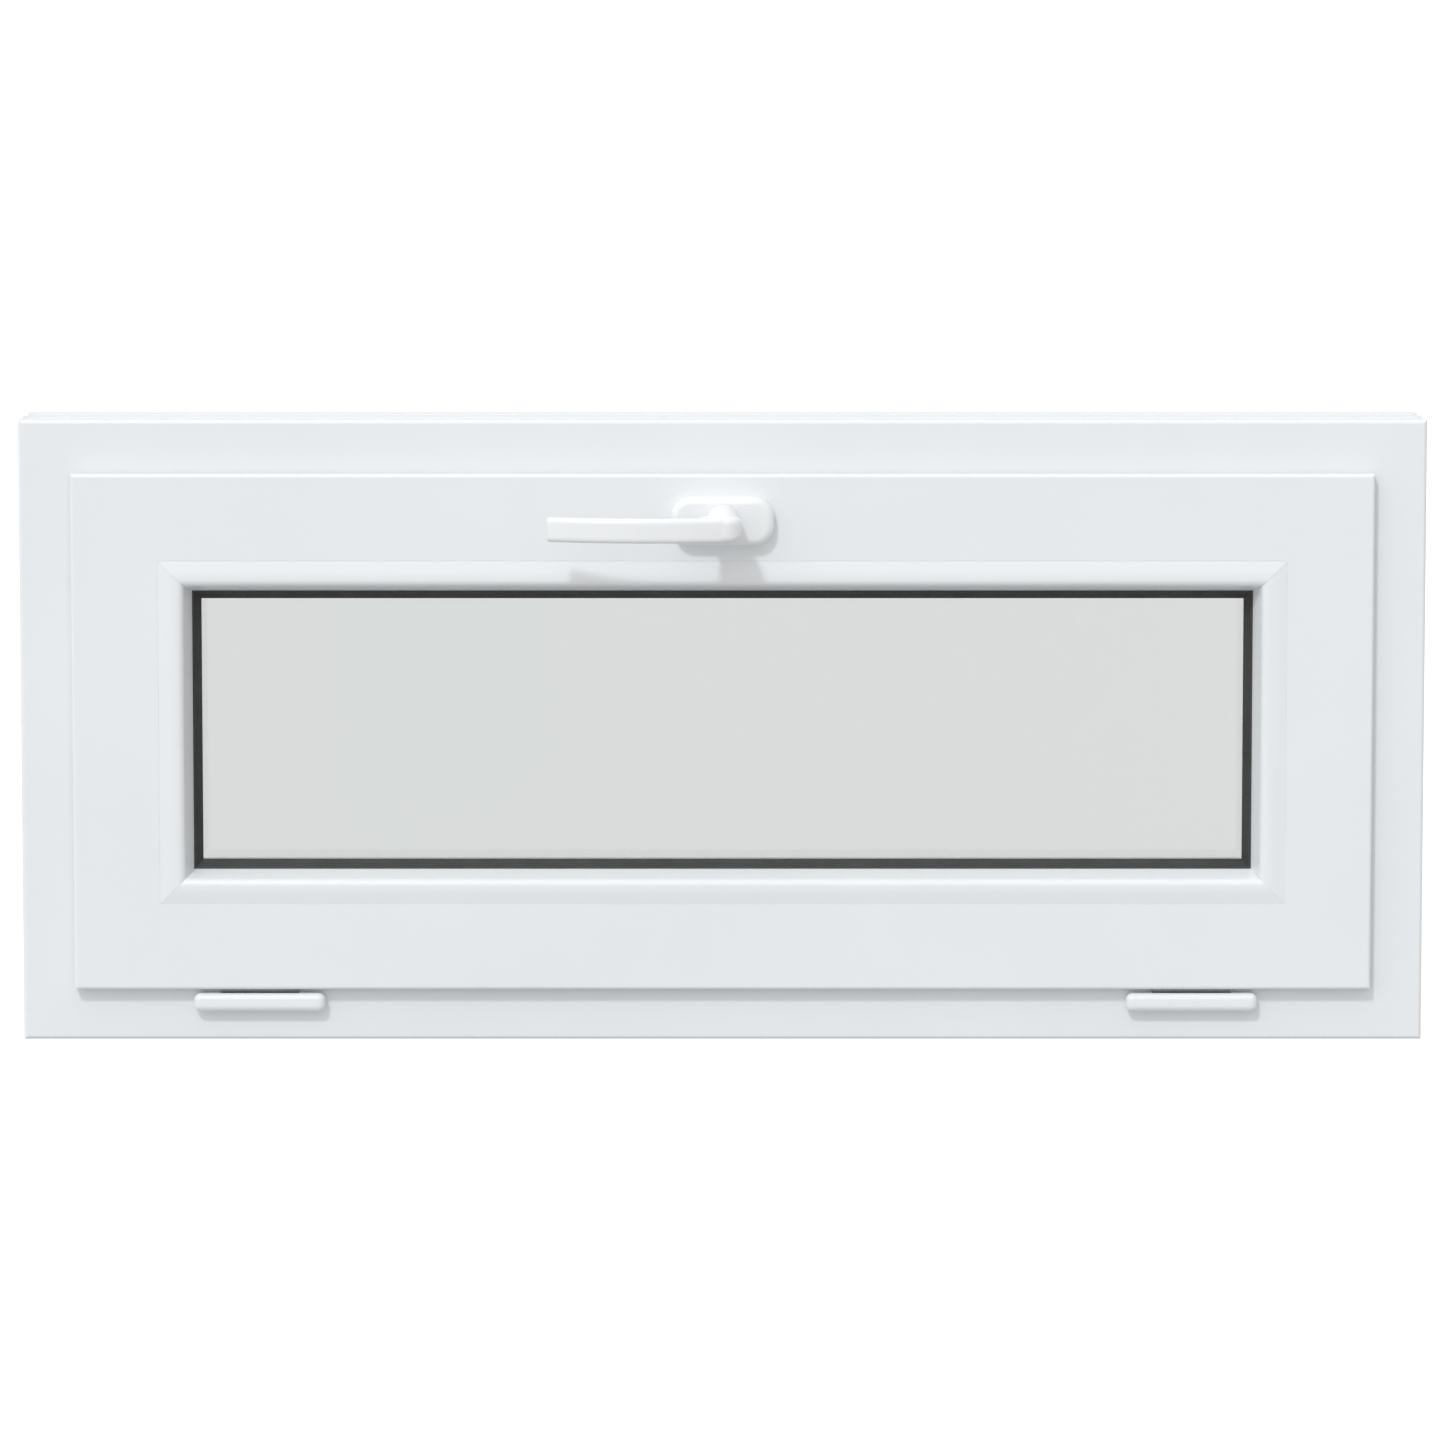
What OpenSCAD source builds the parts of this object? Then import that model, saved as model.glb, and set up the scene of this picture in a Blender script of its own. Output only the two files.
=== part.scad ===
// Bottom-hung PVC window: a sash that tilts into the room about two hinges on its bottom edge.
// X runs along the width, Y from the room to the outside, Z up. The origin is the centre of the
// frame's bottom face. Sections are drawn as [u, d]: u inwards from the frame's perimeter, d from
// the frame's room face towards the outside.

/* [Window] */
// Overall width of the frame
win_w = 900; // [800:10:1200]
// Overall height of the frame
win_h = 400; // [390:10:600]
// Depth of the frame
frame_d = 70; // [70:1:74]

/* [Frame profile] */
// Width of the frame's room face, up to the rebate
frame_face = 41.5; // [41:0.5:42]
// How far in from the perimeter the outer lip reaches
lip_u = 66; // [65:0.5:67]
// Depth at which the outer lip starts
lip_d = 50; // [49.5:0.5:51]
// Thickness of the outer PVC walls
wall = 3; // [2.5:0.1:3]
// Thickness of the webs between chambers
web = 2; // [1.5:0.1:2.5]
// Thickness of the steel bars' walls
steel_t = 1.5; // [1.2:0.1:1.8]
// Width of the two grooves around the perimeter
groove_w = 16; // [10:1:16]
// Depth of those grooves
groove_h = 3; // [2:0.5:3]
// Radius of the anchor screw holes
anchor_r = 3.1; // [2.6:0.1:3.5]
// Distance between the two anchor holes of a jamb
anchor_gap = 200; // [150:10:240]

/* [Sash profile] */
// Distance from the frame's perimeter to the sash's outer edge
sash_u = 34; // [33:0.5:35]
// How far the sash's face stands proud of the frame's face
proud = 10; // [9:0.5:11]
// Thickness of the flange that overlaps the frame
overlap_t = 7; // [6.5:0.1:7]
// Gap between the frame's rebate and the sash's edge, for the hardware
hardware_gap = 11.5; // [11.5:0.5:12]
// Distance from the perimeter to the glazing rebate
rebate_u = 89.5; // [89:0.5:91]
// Distance from the perimeter to the sash's sight line
sight_u = 110; // [109:0.5:112]

/* [Glazing] */
// Thickness of each pane
pane_t = 4; // [4:0.5:5]
// Gap between the panes
pane_gap = 16; // [14:1:16]
// Distance from the perimeter to the edge of the glass
glass_u = 95; // [94:0.5:96]
// Depth of the room face of the glass
glass_d = 12; // [11.5:0.5:12]

/* [Hinges] */
// Left and right hinge centres along X
hinge_x = [-297.5, 301.5];
// Height of the tilt axis
hinge_z = 25.15; // [25:0.05:25.5]
// How far the tilt axis stands in front of the frame's room face
hinge_out = 4.8; // [4.8:0.1:5]
// Width of a hinge cap
cap_w = 84.5; // [80:0.5:88]
// Height of a hinge cap
cap_h = 12.1; // [12:0.1:13]
// How far a hinge cap stands out from the frame
cap_out = 9.5; // [9.5:0.1:10.5]
// Length of the sash's knuckle
leaf_w = 49; // [44:0.5:50]
// Radius of a hinge pin
pin_r = 2; // [1.8:0.1:2.1]
// Running clearance of pins and journals
fit = 0.05; // [0.03:0.01:0.1]

/* [Handle] */
// Distance from the top of the frame to the spindle
spindle_u = 63.5; // [63:0.5:64]
// Side of the square spindle
spindle_s = 7; // [6:0.5:7]
// Width and height of the rosette cover
rosette = [66, 31];
// How far the rosette cover stands out from the sash
rosette_t = 10; // [9:0.5:12]
// Length of the lever from the spindle to its tip
lever_l = 111; // [100:1:125]
// Height of the lever's grip
lever_h = 15.6; // [14:0.2:18]
// Thickness of the lever's grip
lever_t = 9.5; // [8:0.5:11]
// Distance from the sash to the outside of the lever at the spindle
lever_out = 50; // [46:1:56]
// Distance between the two rosette screws
screw_gap = 43; // [42:0.5:44]

/* [Locking gear] */
// Pitch radius of the pinion
pitch_r = 6; // [5.9:0.05:6]
// Number of teeth the pinion would have on a full circle
teeth = 16; // [16:1:18]
// Left and right locking cam positions along X
cam_x = [-270, 270];
// Radius of a locking cam's head
cam_r = 5; // [4:0.5:5.5]
// How far the drive rail slides in a quarter turn
travel = 9.43; // [9:0.01:9.6]

/* [Stays] */
// Height of the stay's frame pivot above the tilt axis
stay_a = 100; // [90:5:110]
// Length of the stay arm between its centres
stay_l = 180; // [170:5:190]
// Depth of the stay in the frame
stay_d = 20; // [19:0.5:21]
// Radius of the stay's pivot pins
stay_r = 3; // [2.5:0.1:3.2]
// How far the stay's sliding pin moves along the slot
stay_slide = 17.6; // [17.5:0.1:19]

/* [Hidden] */
$fn = 48;

pvc = "white";
rubber = "#2b2b2b";
zinc = "silver";

// depths and heights that several parts share
land = frame_d / 2;
sash_edge_u = frame_face + hardware_gap;
flange_d = glass_d + 2 * pane_t + pane_gap + 4;
sash_back_u = 70;
sash_back_d = 46.5;
sash_rear_d = 60;
gear_d = 20;
plate_t = 2.2;
plate_u = sash_edge_u + plate_t;
rail_u = plate_u + 0.2;
rail_t = 1.2;
spindle_z = win_h - spindle_u;
hub_r = 5.8;
cap_wall = 1;
knuckle_r = 3.4;
knuckle_l = 6;
bracket_t = 1;
leaf_t = 2.2;
leaf_screw_x = 15;
stay_z = hinge_z + stay_a;
tip_z = stay_z + stay_l;
reach = 150;
eps = 0.5;

// outside drain slots and their caps
drain_x = [-250, 250];
drain_half = 14;
drain_z = [9, 14];
drain_cap_half = 21;
drain_cap_z = [5, 19];

// glazing bead: where its crown starts and ends, how deep it reaches and its wall
crown_start = 8.5;
crown_end = 15.5;
bead_d = 9;
bead_wall = 2;

// screws: shank and head
screw_r = 1.75;
screw_head_r = 3.4;
countersink = 1.65;

// gear teeth
pressure = 25;
module_mm = 2 * pitch_r / teeth;
backlash = 0.14;
tip_h = 0.85 * module_mm;
root_h = 1.1 * module_mm;
mesh_half = 4;

// strikers: base plate and lip
keep_t = 2.5;
keep_lip = 7;

// ---- shared shapes ----

module rect(u0, u1, d0, d1) { translate([u0, d0]) square([u1 - u0, d1 - d0]); }

// a block given by its limits in x, depth and z
module block(x0, x1, d0, d1, z0, z1) {
    translate([x0, d0 - land, z0]) cube([x1 - x0, d1 - d0, z1 - z0]);
}

module rod_x(r, x0, x1, d, z) {
    translate([x0, d - land, z]) rotate([0, 90, 0]) cylinder(r = r, h = x1 - x0);
}

module rod_d(r, d0, d1, x, z) {
    translate([x, d1 - land, z]) rotate([90, 0, 0]) cylinder(r = r, h = d1 - d0);
}

module rod_z(r, z0, z1, x, d) {
    translate([x, d - land, z0]) cylinder(r = r, h = z1 - z0);
}

// a flat outline in [x, z], given its depth range
module plate_d(d0, d1, x, z) {
    translate([x, d1 - land, z]) rotate([90, 0, 0]) linear_extrude(d1 - d0) children();
}

module rounded(w, h, r) {
    square([w - 2 * r, h], center = true);
    square([w, h - 2 * r], center = true);
    for (x = [-1, 1], z = [-1, 1])
        translate([x * (w / 2 - r), z * (h / 2 - r)]) circle(r = r);
}

// a rectangular ring around the window
module ring(u0, u1, d0, d1) {
    difference() {
        block(u0 - win_w / 2, win_w / 2 - u0, d0, d1, u0, win_h - u0);
        block(u1 - win_w / 2, win_w / 2 - u1, d0 - eps, d1 + eps, u1, win_h - u1);
    }
}

function side_length(side) = (side == "top" || side == "bottom") ? win_w : win_h;

// moves what is built along the bottom edge to another side of the window
module on_side(side) {
    if (side == "bottom") children();
    else if (side == "top") translate([0, 0, win_h]) rotate([0, 180, 0]) children();
    else if (side == "left") translate([-win_w / 2, 0, win_h / 2]) rotate([0, 90, 0]) children();
    else translate([win_w / 2, 0, win_h / 2]) rotate([0, -90, 0]) children();
}

// a length of the section, cut to 45 degrees at both corners
module mitred(side) {
    len = side_length(side);
    on_side(side) intersection() {
        translate([0, -land, 0]) rotate([0, -90, 0]) linear_extrude(len, center = true) children();
        rotate([90, 0, 0]) linear_extrude(4 * frame_d, center = true)
            polygon([
                [-len / 2 - 1, -1], [len / 2 + 1, -1], [len / 2 - reach, reach], [reach - len / 2, reach]
            ]);
    }
}

// a straight bar with square ends, cut short of the corners
module bar(side, short) {
    on_side(side) translate([0, -land, 0]) rotate([0, -90, 0])
        linear_extrude(side_length(side) - 2 * short, center = true) children();
}

module for_hinges() { for (x = hinge_x) translate([x, 0, 0]) children(); }

// ---- fixed frame ----

module frame_section() {
    difference() {
        polygon([
            [0, 0], [frame_face, 0], [frame_face, lip_d], [lip_u, lip_d], [lip_u, frame_d], [0, frame_d]
        ]);
        for (d = [land - 14, land + 14]) rect(-eps, groove_h, d - groove_w / 2, d + groove_w / 2);
        rect(wall, frame_face - wall, wall, 11);
        rect(wall + groove_h, frame_face - wall, 14, lip_d - wall);
        rect(wall + groove_h, frame_face - 1, lip_d + 1, frame_d - wall);
        rect(frame_face + web, lip_u - wall, lip_d + 6, frame_d - wall);
        rect(58, 61, lip_d - eps, lip_d + 3);
    }
}

module anchor_holes() {
    for (x = [-1, 1], z = [-1, 1])
        rod_x(anchor_r, min(x * (win_w / 2 - frame_face - 1), x * (win_w / 2 + 1)),
            max(x * (win_w / 2 - frame_face - 1), x * (win_w / 2 + 1)), land, win_h / 2 + z * anchor_gap / 2);
}

module frame_head() {
    color(pvc) difference() { mitred("top") frame_section(); striker_screws(); }
}

module frame_bottom_rail() {
    color(pvc) difference() {
        mitred("bottom") frame_section();
        hinge_bracket_screws();
        for (x = drain_x)
            block(x - drain_half, x + drain_half, frame_d - wall - 1, frame_d + 1, drain_z[0], drain_z[1]);
    }
}

module frame_jamb(side) {
    color(pvc) difference() { mitred(side) frame_section(); anchor_holes(); }
}

module frame_steel(side) {
    color(zinc) difference() {
        bar(side, 48) difference() {
            rect(8, 38, 14, 47);
            rect(8 + steel_t, 38 - steel_t, 14 + steel_t, 47 - steel_t);
        }
        anchor_holes();
        hinge_bracket_screws();
        striker_screws();
    }
}

module frame_weather_seal() {
    color(rubber) difference() {
        union() { ring(56, 63, lip_d - 3, lip_d); ring(58, 61, lip_d - 1, lip_d + 3); }
        ring(52, 58, lip_d - 4, lip_d - 1.2);
    }
}

module drainage_caps() {
    color(pvc) for (x = drain_x) difference() {
        block(x - drain_cap_half, x + drain_cap_half, frame_d, frame_d + 4, drain_cap_z[0], drain_cap_z[1]);
        block(x + 2 - drain_cap_half, x + drain_cap_half - 2, frame_d - 1, frame_d + 2.5,
            drain_cap_z[0] - 1, drain_cap_z[1] - 2);
    }
}

// the keep: a base plate with a lip on the room side, open where the cam stands at rest
module striker(i) {
    x = cam_x[i];
    z = win_h - frame_face;
    color(zinc) difference() {
        union() {
            block(x - 26, x + 14, 10, 31, z - keep_t, z);
            block(x - 22, x - cam_r - 1.5, 10, 13.5, z - keep_lip, z - keep_t);
        }
        striker_screws();
    }
}

module striker_screws() {
    z = win_h - frame_face - keep_t;
    color(zinc) for (x = cam_x, dx = [-18, 8]) translate([x + dx, 0, 0]) {
        rod_z(screw_r, z, z + 18.5, 0, 25);
        translate([0, 25 - land, z]) cylinder(r1 = screw_head_r, r2 = screw_r, h = countersink);
    }
}

// ---- tilt hinges: bracket, pin and cap on the frame, leaf on the sash ----

module hinge_bracket() {
    color(zinc) difference() {
        union() {
            plate_d(-bracket_t, 0, 0, hinge_z) rounded(81, 9.3, 3.3);
            for (s = [-1, 1]) translate([s * (leaf_w + knuckle_l + 1) / 2, 0, 0]) {
                rod_x(knuckle_r, -knuckle_l / 2, knuckle_l / 2, -hinge_out, hinge_z);
                block(-knuckle_l / 2, knuckle_l / 2, -hinge_out, -bracket_t / 2, hinge_z - 2.5, hinge_z + 2.5);
            }
        }
        hinge_pin();
        bracket_screws();
    }
}

module hinge_pin() {
    half = leaf_w / 2 + 0.5 + knuckle_l;
    color(zinc) rod_x(pin_r, -half, half, -hinge_out, hinge_z);
}

module bracket_screws() {
    for (s = [-1, 1]) {
        rod_d(screw_r, -bracket_t - 0.2, 18, s * 35.5, hinge_z);
        rod_d(3, -bracket_t - 1.6, -bracket_t, s * 35.5, hinge_z);
    }
}

module hinge_bracket_screws() { color(zinc) for_hinges() bracket_screws(); }

module hinge_cap() {
    color(pvc) difference() {
        plate_d(-cap_out, 0, 0, hinge_z) rounded(cap_w, cap_h, 4.5);
        plate_d(cap_wall - cap_out, 1, 0, hinge_z)
            rounded(cap_w - 2 * cap_wall, cap_h - 2 * cap_wall, 3.5);
        block(-leaf_w / 2 - 0.8, leaf_w / 2 + 0.8, -6, 1, hinge_z, hinge_z + cap_h);
    }
}

module hinge_leaf() {
    color(zinc) difference() {
        union() {
            rod_x(knuckle_r, -leaf_w / 2, leaf_w / 2, -hinge_out, hinge_z);
            block(-leaf_w / 2, leaf_w / 2, -2.6, -1.3, hinge_z, sash_edge_u);
            block(-leaf_w / 2, leaf_w / 2, -2.6, 28, sash_edge_u - leaf_t, sash_edge_u);
        }
        rod_x(pin_r + fit, -leaf_w, leaf_w, -hinge_out, hinge_z);
        leaf_screws();
    }
}

module leaf_screws() {
    for (x = [-leaf_screw_x, leaf_screw_x]) {
        rod_z(screw_r, sash_edge_u - leaf_t, sash_edge_u + 12, x, gear_d);
        translate([x, gear_d - land, sash_edge_u - leaf_t])
            cylinder(r1 = screw_head_r, r2 = screw_r, h = countersink);
    }
}

module hinge_leaf_screws() { color(zinc) for_hinges() leaf_screws(); }

// ---- tilting sash ----

module sash_section() {
    difference() {
        polygon([
            [sash_u, -proud], [rebate_u, -proud], [rebate_u, flange_d], [sight_u, flange_d],
            [sight_u, sash_rear_d], [sash_back_u, sash_rear_d], [sash_back_u, sash_back_d],
            [sash_edge_u, sash_back_d], [sash_edge_u, overlap_t - proud], [sash_u, overlap_t - proud]
        ]);
        rect(sash_edge_u - eps, plate_u, gear_d - 8, gear_d + 8);
        rect(plate_u - eps, 59, gear_d - 6, gear_d + 6);
        rect(rebate_u - 2.5, rebate_u + eps, 3, 6);
        rect(sash_edge_u + wall, rebate_u - 5.5, wall - proud, 9);
        rect(62, rebate_u - 5.5, 12, 44);
        rect(sash_back_u + wall, sight_u - wall, 47, sash_rear_d - wall);
    }
}

// everything that is drilled or milled out of the top rail for the handle and its gear
module handle_cuts() {
    rod_d(6, -proud - 1, gear_d, 0, spindle_z);
    handle_screws();
    block(-32.2, 32.2, gear_d - 6.5, gear_d + 6.5, win_h - 72.2, win_h - plate_u + eps);
}

module sash_top_rail() {
    color(pvc) difference() { mitred("top") sash_section(); handle_cuts(); }
}

module sash_bottom_rail() {
    color(pvc) difference() { mitred("bottom") sash_section(); hinge_leaf_screws(); }
}

module sash_stile(side) { color(pvc) mitred(side) sash_section(); }

// a channel that opens towards the hardware groove
module sash_steel(side) {
    color(zinc) difference() {
        bar(side, 92) difference() {
            rect(62.5, rebate_u - 5.5, 12, 44);
            rect(62, rebate_u - 5.5 - steel_t, 12 + steel_t, 44 - steel_t);
        }
        handle_cuts();
    }
}

module sash_overlap_seal() {
    color(rubber) difference() {
        ring(sash_u + 1, sash_u + 6, overlap_t - proud, -0.3);
        for_hinges() block(-leaf_w / 2 - 1, leaf_w / 2 + 1, -4, 1, sash_u, sash_u + 8);
    }
}

// ---- glazing ----

module bead_section() {
    crown = proud + 1.3;
    difference() {
        union() {
            polygon([
                [rebate_u, -proud], [rebate_u + crown_start, -crown], [rebate_u + crown_end, -crown],
                [sight_u, bead_d - 3], [sight_u, bead_d], [rebate_u, bead_d]
            ]);
            rect(rebate_u - 2.3, rebate_u + 1, 3.2, 5.8);
        }
        polygon([
            [rebate_u + bead_wall, bead_wall - crown], [rebate_u + crown_end - 3, bead_wall - crown],
            [sight_u - 3, bead_d - 4], [sight_u - 3, bead_d - 2], [rebate_u + bead_wall, bead_d - 2]
        ]);
    }
}

module bead(side) { color(pvc) mitred(side) bead_section(); }

module glazing_seal_inner() {
    color(rubber) for (side = ["top", "bottom", "left", "right"]) mitred(side)
        polygon([
            [sight_u - 6, bead_d], [sight_u, bead_d], [sight_u, bead_d - 3], [sight_u + 1.2, bead_d - 3],
            [sight_u + 5.5, glass_d - 0.6], [sight_u + 5.5, glass_d], [sight_u - 6, glass_d]
        ]);
}

module glazing_seal_outer() {
    color(rubber) ring(sight_u - 6, sight_u + 2, flange_d - 4, flange_d);
}

module pane(d) {
    color("lightgrey", 0.4)
        block(glass_u - win_w / 2, win_w / 2 - glass_u, d, d + pane_t, glass_u, win_h - glass_u);
}

module glass_pane_inner() { pane(glass_d); }

module glass_pane_outer() { pane(glass_d + pane_t + pane_gap); }

module glass_spacer() {
    near = glass_d + pane_t;
    color(zinc) difference() {
        ring(glass_u + 4, glass_u + 11, near, near + pane_gap);
        ring(glass_u + 3, glass_u + 10, near + 0.8, near + pane_gap - 0.8);
    }
}

module glass_edge_seal() {
    near = glass_d + pane_t;
    color(rubber) ring(glass_u, glass_u + 4, near, near + pane_gap);
}

module glazing_blocks() {
    far = glass_d + 2 * pane_t + pane_gap;
    color("dimgray") {
        for (x = [-235, 155]) {
            block(x, x + 80, glass_d, far, rebate_u, glass_u);
            block(x, x + 80, glass_d, far, win_h - glass_u, win_h - rebate_u);
        }
        for (s = [-1, 1])
            block(min(s * (win_w / 2 - rebate_u), s * (win_w / 2 - glass_u)),
                max(s * (win_w / 2 - rebate_u), s * (win_w / 2 - glass_u)), glass_d, far, 220, 280);
    }
}

// ---- handle and locking gear ----

module gear_faceplate() {
    color(zinc) difference() {
        block(-310, 310, gear_d - 8, gear_d + 8, win_h - plate_u, win_h - sash_edge_u);
        for (x = cam_x) {
            block(x - travel - 0.5, x + 0.5, gear_d - 3.7, gear_d + 3.7, win_h - plate_u - 1, win_h);
            for (end = [x - travel - 0.5, x + 0.5]) rod_z(3.7, win_h - plate_u - 1, win_h, end, gear_d);
        }
    }
}

module gearbox_case() {
    top_z = win_h - plate_u;
    color(zinc) difference() {
        block(-32, 32, gear_d - 6.3, gear_d + 6.3, win_h - 72, top_z);
        block(-33, 33, gear_d - 4.8, gear_d + 4.8, top_z - 3.2, top_z + 1);
        rod_d(7.2, gear_d - 4.2, gear_d + 4.2, 0, spindle_z);
        rod_d(hub_r + fit, gear_d - 7, gear_d + 7, 0, spindle_z);
        handle_screws();
    }
}

module rosette_base() {
    color(zinc) difference() {
        union() {
            plate_d(-proud - 4, -proud, 0, spindle_z) rounded(58, 24, 11.5);
            rod_d(9, -proud - 8.8, -proud - 1, 0, spindle_z);
        }
        rod_d(7 + fit, -proud - 10, -proud + 1, 0, spindle_z);
        handle_screws();
    }
}

module rosette_cover() {
    color(pvc) difference() {
        plate_d(-proud - rosette_t, -proud, 0, spindle_z) rounded(rosette[0], rosette[1], 13);
        plate_d(1.5 - proud - rosette_t, 1 - proud, 0, spindle_z)
            rounded(rosette[0] - 3, rosette[1] - 3, 11.5);
        rod_d(11.7, -proud - rosette_t - 1, -proud, 0, spindle_z);
    }
}

module handle_screws() {
    color(zinc) for (s = [-1, 1]) {
        rod_d(2.5, -proud - 2, 24, s * screw_gap / 2, spindle_z);
        rod_d(4.5, -proud - 4, -proud - 2, s * screw_gap / 2, spindle_z);
    }
}

// distance from the sash to the outside of the lever, x from the spindle towards the tip
function lever_bow(x) = lever_out + 0.22 * x - 0.00255 * x * x;

module handle_lever() {
    elbow_r = 12;
    steps = 24;
    outer = [for (i = [0:steps]) let (x = lever_l * i / steps) [-x, -lever_bow(x)]];
    inner = [for (i = [steps:-1:4]) let (x = lever_l * i / steps) [-x, lever_t - lever_bow(x)]];
    elbow = [for (a = [0:10:80]) [0.3 + elbow_r * cos(a), elbow_r - lever_out - elbow_r * sin(a)]];
    color(pvc) {
        difference() {
            union() {
                rod_d(11.2, -proud - 42, -proud - 9.2, 0, spindle_z);
                rod_d(7, -proud - 12, -proud - 0.5, 0, spindle_z);
            }
            handle_spindle();
        }
        translate([0, -proud - land, spindle_z - 2 - lever_h / 2]) linear_extrude(lever_h)
            polygon(concat(elbow, outer, inner, [[-10, -33], [0.3 + elbow_r, -33]]));
    }
}

module handle_spindle() {
    color(zinc) translate([0, -proud - 30 - land, spindle_z]) rotate([-90, 0, 0])
        linear_extrude(proud + 30 + gear_d + 6.3) rounded(spindle_s, spindle_s, 0.6);
}

// an involute tooth profile on one side, measured from the pitch point
function roll(r, base) = sqrt(max(0, r * r / (base * base) - 1));
function involute_turn(r, base) = roll(r, base) * 180 / PI - atan(roll(r, base));

module tooth_outline() {
    base = pitch_r * cos(pressure);
    half = 90 / teeth - backlash / (2 * pitch_r) * 180 / PI + involute_turn(pitch_r, base);
    root = pitch_r - root_h;
    tip = pitch_r + tip_h;
    flank = [for (i = [0:5]) let (r = max(base, root) + (tip - max(base, root)) * i / 5)
        [r, half - involute_turn(r, base)]];
    polygon(concat(
        [[(root - 0.3) * cos(-half), (root - 0.3) * sin(-half)]],
        [for (p = flank) [p[0] * cos(-p[1]), p[0] * sin(-p[1])]],
        [for (i = [5:-1:0]) let (p = flank[i]) [p[0] * cos(p[1]), p[0] * sin(p[1])]],
        [[(root - 0.3) * cos(half), (root - 0.3) * sin(half)]]));
}

module gear_pinion() {
    color(zinc) difference() {
        union() {
            for (d = [gear_d - 6.3, gear_d + mesh_half]) rod_d(hub_r, d, d + 6.3 - mesh_half, 0, spindle_z);
            plate_d(gear_d - mesh_half, gear_d + mesh_half, 0, spindle_z) union() {
                circle(r = pitch_r - root_h);
                for (i = [0:teeth - 1]) rotate(90 + i * 360 / teeth) tooth_outline();
            }
        }
        handle_spindle();
    }
}

// the rail carries the rack that the pinion drives and the two cams
module drive_rail() {
    pitch = PI * module_mm;
    z_pitch = spindle_z + pitch_r;
    z_top = win_h - rail_u;
    slope = tan(pressure);
    half = pitch / 4 - backlash / 2;
    root_z = z_top - rail_t - z_pitch;
    color(zinc) difference() {
        union() {
            block(-285, 285, gear_d - 4.5, gear_d + 4.5, z_top - rail_t, z_top);
            plate_d(gear_d + 0.3 - mesh_half, gear_d + mesh_half - 0.3, 0, 0) union() {
                for (k = [-4:7]) translate([(k + 0.5) * pitch, z_pitch])
                    polygon([
                        [-half - root_z * slope, root_z + 0.1], [-half + tip_h * slope, -tip_h],
                        [half - tip_h * slope, -tip_h], [half + root_z * slope, root_z + 0.1]
                    ]);
            }
        }
        for (x = cam_x) rod_z(2, z_top - 3, z_top + 1, x, gear_d);
    }
}

module locking_cams() {
    z_top = win_h - rail_u;
    head_z = win_h - frame_face - 4.5;
    color(zinc) for (x = cam_x) {
        rod_z(2, z_top - rail_t, z_top + 0.5, x, gear_d);
        rod_z(3.2, z_top, head_z - 1, x, gear_d);
        rod_z(cam_r, head_z - 2.5, head_z, x, gear_d);
    }
}

// ---- stays, built for the left side ----

module stay_bracket() {
    x = frame_face - win_w / 2;
    color(zinc) {
        block(x, x + 2, stay_d - 10, stay_d + 10, stay_z - 22, stay_z + 22);
        rod_x(stay_r, x + 1, x + 7.2, stay_d, stay_z);
        rod_x(stay_r + 2, x + 6, x + 7.5, stay_d, stay_z);
    }
}

module stay_arm() {
    x = frame_face - win_w / 2 + 3;
    color(zinc) difference() {
        union() {
            block(x, x + 2.5, stay_d - 7, stay_d + 7, stay_z, tip_z);
            rod_x(7, x, x + 2.5, stay_d, stay_z);
            rod_x(7, x, x + 2.5, stay_d, tip_z);
            rod_x(stay_r, x + 2, x + 8, stay_d, tip_z);
        }
        rod_x(stay_r + fit, x - 1, x + 4, stay_d, stay_z);
    }
}

module stay_rail() {
    x = sash_edge_u - win_w / 2;
    slot_r = stay_r + 0.8;
    color(zinc) difference() {
        block(x - 2, x, stay_d - 10, stay_d + 10, tip_z - stay_slide - 20, tip_z + 20);
        block(x - 3, x + 1, stay_d - slot_r, stay_d + slot_r, tip_z - stay_slide - 0.5, tip_z + 0.5);
        for (z = [tip_z - stay_slide - 0.5, tip_z + 0.5]) rod_x(slot_r, x - 3, x + 1, stay_d, z);
    }
}

frame_head();
frame_bottom_rail();
frame_jamb("left");  // frame_jamb_left
frame_jamb("right");  // frame_jamb_right
frame_steel("top");  // frame_steel_head
frame_steel("bottom");  // frame_steel_bottom
frame_steel("left");  // frame_steel_left
frame_steel("right");  // frame_steel_right
frame_weather_seal();
drainage_caps();
striker(0);  // striker_left
striker(1);  // striker_right
striker_screws();
translate([hinge_x[0], 0, 0]) hinge_bracket();  // hinge_bracket_left
translate([hinge_x[1], 0, 0]) hinge_bracket();  // hinge_bracket_right
translate([hinge_x[0], 0, 0]) hinge_pin();  // hinge_pin_left
translate([hinge_x[1], 0, 0]) hinge_pin();  // hinge_pin_right
translate([hinge_x[0], 0, 0]) hinge_cap();  // hinge_cap_left
translate([hinge_x[1], 0, 0]) hinge_cap();  // hinge_cap_right
hinge_bracket_screws();
stay_bracket();  // stay_bracket_left
mirror([1, 0, 0]) stay_bracket();  // stay_bracket_right
sash_top_rail();
sash_bottom_rail();
sash_stile("left");  // sash_stile_left
sash_stile("right");  // sash_stile_right
sash_steel("top");  // sash_steel_top
sash_steel("bottom");  // sash_steel_bottom
sash_steel("left");  // sash_steel_left
sash_steel("right");  // sash_steel_right
sash_overlap_seal();
bead("top");  // bead_top
bead("bottom");  // bead_bottom
bead("left");  // bead_left
bead("right");  // bead_right
glazing_seal_inner();
glazing_seal_outer();
glass_pane_inner();
glass_pane_outer();
glass_spacer();
glass_edge_seal();
glazing_blocks();
translate([hinge_x[0], 0, 0]) hinge_leaf();  // hinge_leaf_left
translate([hinge_x[1], 0, 0]) hinge_leaf();  // hinge_leaf_right
hinge_leaf_screws();
gear_faceplate();
gearbox_case();
rosette_base();
rosette_cover();
handle_screws();
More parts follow.
